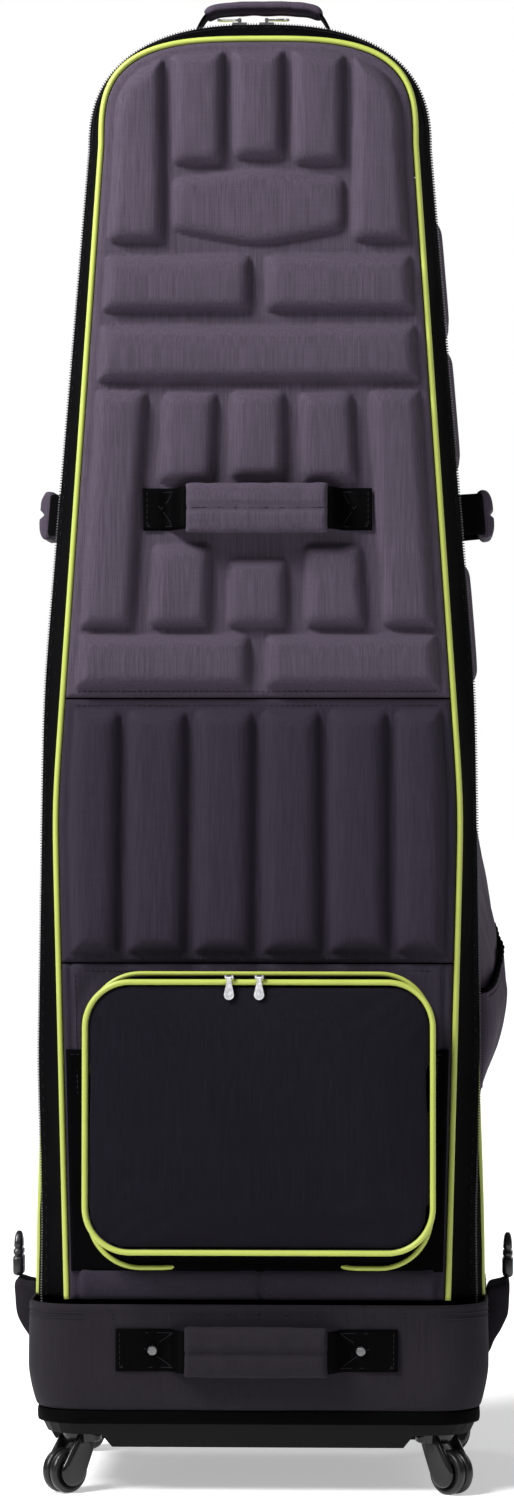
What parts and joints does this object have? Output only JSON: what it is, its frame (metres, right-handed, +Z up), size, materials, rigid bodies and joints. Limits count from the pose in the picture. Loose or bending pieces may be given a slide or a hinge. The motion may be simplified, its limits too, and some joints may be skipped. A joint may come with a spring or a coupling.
{
  "type": "golf travel case",
  "caption": "Tall soft-sided wheeled case for a golf bag: front panel folds down on a zip, moulded base on swivel casters, grab handles, front and side pockets.",
  "frame": {"origin": "on the floor, under the centre of the case's bounding box", "axes": "+Z up along the case's height, +X to the right seen from the front, -Y to the front, where the lid is"},
  "size_m": [0.4506, 0.3598, 1.326],
  "materials": {
    "shell_fabric": "fine ribbed polyester, satin",
    "pocket_fabric": "smooth dark polyester",
    "base_fabric": "heavy polyester, matte",
    "piping": "coated lime cord",
    "webbing": "woven nylon, matte",
    "zip": "moulded zip teeth on woven tape",
    "bright_metal": "polished plating",
    "base_plastic": "moulded, fine grain",
    "wheel_plastic": "glossy moulded",
    "buckle_plastic": "satin acetal",
    "lining": "knitted lining over foam"
  },
  "bodies": {
    "case": {"base_tray": "base_plastic", "base_binding": "webbing", "base_cover": "base_fabric", "floor_pad": "lining", "base_handle_strap": "webbing", "base_handle_grip": "base_fabric", "base_rivet_left": "bright_metal", "base_rivet_right": "bright_metal", "rear_zip_chain": "zip", "rear_gusset": "webbing", "rear_piping": "piping", "side_panel_left": "shell_fabric", "side_panel_right": "shell_fabric", "top_panel": "shell_fabric", "back_panel": "shell_fabric", "back_board": "lining", "inner_strap_lower": "webbing", "inner_strap_upper": "webbing", "side_pocket": "shell_fabric", "side_handle_left_strap": "webbing", "side_handle_left_grip": "shell_fabric", "side_handle_right_strap": "webbing", "side_handle_right_grip": "shell_fabric", "top_handle_strap": "webbing", "top_handle_grip": "shell_fabric", "wing_left": "base_fabric", "wing_right": "base_fabric"},
    "lid": {"front_panel": "shell_fabric", "rib_panel": "shell_fabric", "lower_panel": "shell_fabric", "front_piping": "piping", "front_gusset": "webbing", "front_zip_chain": "zip", "front_handle_strap": "webbing", "front_handle_grip": "shell_fabric", "pocket_wall": "webbing", "pocket_zip_chain": "zip", "pocket_rear_piping": "piping"},
    "pocket_flap": {"pocket_cover": "pocket_fabric", "pocket_front_piping": "piping"},
    "pocket_slider_left": {"pocket_left_slider": "bright_metal"},
    "pocket_pull_left": {"pocket_left_pull": "bright_metal"},
    "main_slider_left": {"main_left_slider": "bright_metal"},
    "main_pull_left": {"main_left_pull": "bright_metal"},
    "buckle_left": {"buckle_left": "buckle_plastic"},
    "pocket_slider_right": {"pocket_right_slider": "bright_metal"},
    "pocket_pull_right": {"pocket_right_pull": "bright_metal"},
    "main_slider_right": {"main_right_slider": "bright_metal"},
    "main_pull_right": {"main_right_pull": "bright_metal"},
    "buckle_right": {"buckle_right": "buckle_plastic"},
    "caster_front_left": {"caster_front_left_yoke": "wheel_plastic"},
    "wheel_front_left": {"caster_front_left_wheel": "wheel_plastic"},
    "caster_front_right": {"caster_front_right_yoke": "wheel_plastic"},
    "wheel_front_right": {"caster_front_right_wheel": "wheel_plastic"},
    "caster_rear_left": {"caster_rear_left_yoke": "wheel_plastic"},
    "wheel_rear_left": {"caster_rear_left_wheel": "wheel_plastic"},
    "caster_rear_right": {"caster_rear_right_yoke": "wheel_plastic"},
    "wheel_rear_right": {"caster_rear_right_wheel": "wheel_plastic"}
  },
  "joints": [
    {"name": "lid_hinge", "type": "hinge", "parent": "case", "child": "lid", "pos_m": [0, -0.143, 0.1715], "axis": [1, 0, 0], "range_deg": [0, 90]},
    {"name": "pocket_flap_hinge", "type": "hinge", "parent": "lid", "child": "pocket_flap", "pos_m": [0, -0.17258, 0.2085], "axis": [-1, 0, 0], "range_deg": [-75, 0]},
    {"name": "pocket_slider_left_slide", "type": "slide", "parent": "pocket_flap", "child": "pocket_slider_left", "axis": [-1, 0, 0], "range_m": [0, 0.08]},
    {"name": "pocket_pull_left_hinge", "type": "hinge", "parent": "pocket_slider_left", "child": "pocket_pull_left", "pos_m": [-0.023, -0.17515, 0.4542], "axis": [1, 0, 0], "range_deg": [-110, 0]},
    {"name": "main_slider_left_slide", "type": "slide", "parent": "case", "child": "main_slider_left", "axis": [-1, 0, 0], "range_m": [0, 0.03]},
    {"name": "main_pull_left_hinge", "type": "hinge", "parent": "main_slider_left", "child": "main_pull_left", "pos_m": [-0.018, -0.06329, 1.2962], "axis": [0, 1, 0], "range_deg": [0, 110]},
    {"name": "pocket_slider_right_slide", "type": "slide", "parent": "pocket_flap", "child": "pocket_slider_right", "axis": [1, 0, 0], "range_m": [0, 0.08]},
    {"name": "pocket_pull_right_hinge", "type": "hinge", "parent": "pocket_slider_right", "child": "pocket_pull_right", "pos_m": [0.003, -0.17515, 0.4542], "axis": [1, 0, 0], "range_deg": [-110, 0]},
    {"name": "main_slider_right_slide", "type": "slide", "parent": "case", "child": "main_slider_right", "axis": [1, 0, 0], "range_m": [0, 0.03]},
    {"name": "main_pull_right_hinge", "type": "hinge", "parent": "main_slider_right", "child": "main_pull_right", "pos_m": [0.006, -0.06329, 1.2962], "axis": [0, -1, 0], "range_deg": [0, 110]},
    {"name": "caster_front_left_swivel", "type": "hinge", "parent": "case", "child": "caster_front_left", "pos_m": [-0.155, -0.103, 0.045], "axis": [0, 0, 1], "continuous": true},
    {"name": "wheel_front_left_spin", "type": "hinge", "parent": "caster_front_left", "child": "wheel_front_left", "pos_m": [-0.16914, -0.11714, 0.0195], "axis": [0.7071, -0.7071, 0], "continuous": true},
    {"name": "caster_front_right_swivel", "type": "hinge", "parent": "case", "child": "caster_front_right", "pos_m": [0.155, -0.103, 0.045], "axis": [0, 0, 1], "continuous": true},
    {"name": "wheel_front_right_spin", "type": "hinge", "parent": "caster_front_right", "child": "wheel_front_right", "pos_m": [0.16914, -0.11714, 0.0195], "axis": [0.7071, 0.7071, 0], "continuous": true},
    {"name": "caster_rear_left_swivel", "type": "hinge", "parent": "case", "child": "caster_rear_left", "pos_m": [-0.155, 0.133, 0.045], "axis": [0, 0, 1], "continuous": true},
    {"name": "wheel_rear_left_spin", "type": "hinge", "parent": "caster_rear_left", "child": "wheel_rear_left", "pos_m": [-0.16914, 0.14714, 0.0195], "axis": [-0.7071, -0.7071, 0], "continuous": true},
    {"name": "caster_rear_right_swivel", "type": "hinge", "parent": "case", "child": "caster_rear_right", "pos_m": [0.155, 0.133, 0.045], "axis": [0, 0, 1], "continuous": true},
    {"name": "wheel_rear_right_spin", "type": "hinge", "parent": "caster_rear_right", "child": "wheel_rear_right", "pos_m": [0.16914, 0.14714, 0.0195], "axis": [-0.7071, 0.7071, 0], "continuous": true},
    {"name": "buckle_left_swing", "type": "hinge", "parent": "case", "child": "buckle_left", "pos_m": [-0.2203, 0.015, 0.1798], "axis": [0, -1, 0], "range_deg": [-10, 80]},
    {"name": "buckle_right_swing", "type": "hinge", "parent": "case", "child": "buckle_right", "pos_m": [0.2203, 0.015, 0.1798], "axis": [0, 1, 0], "range_deg": [-10, 80]}
  ]
}
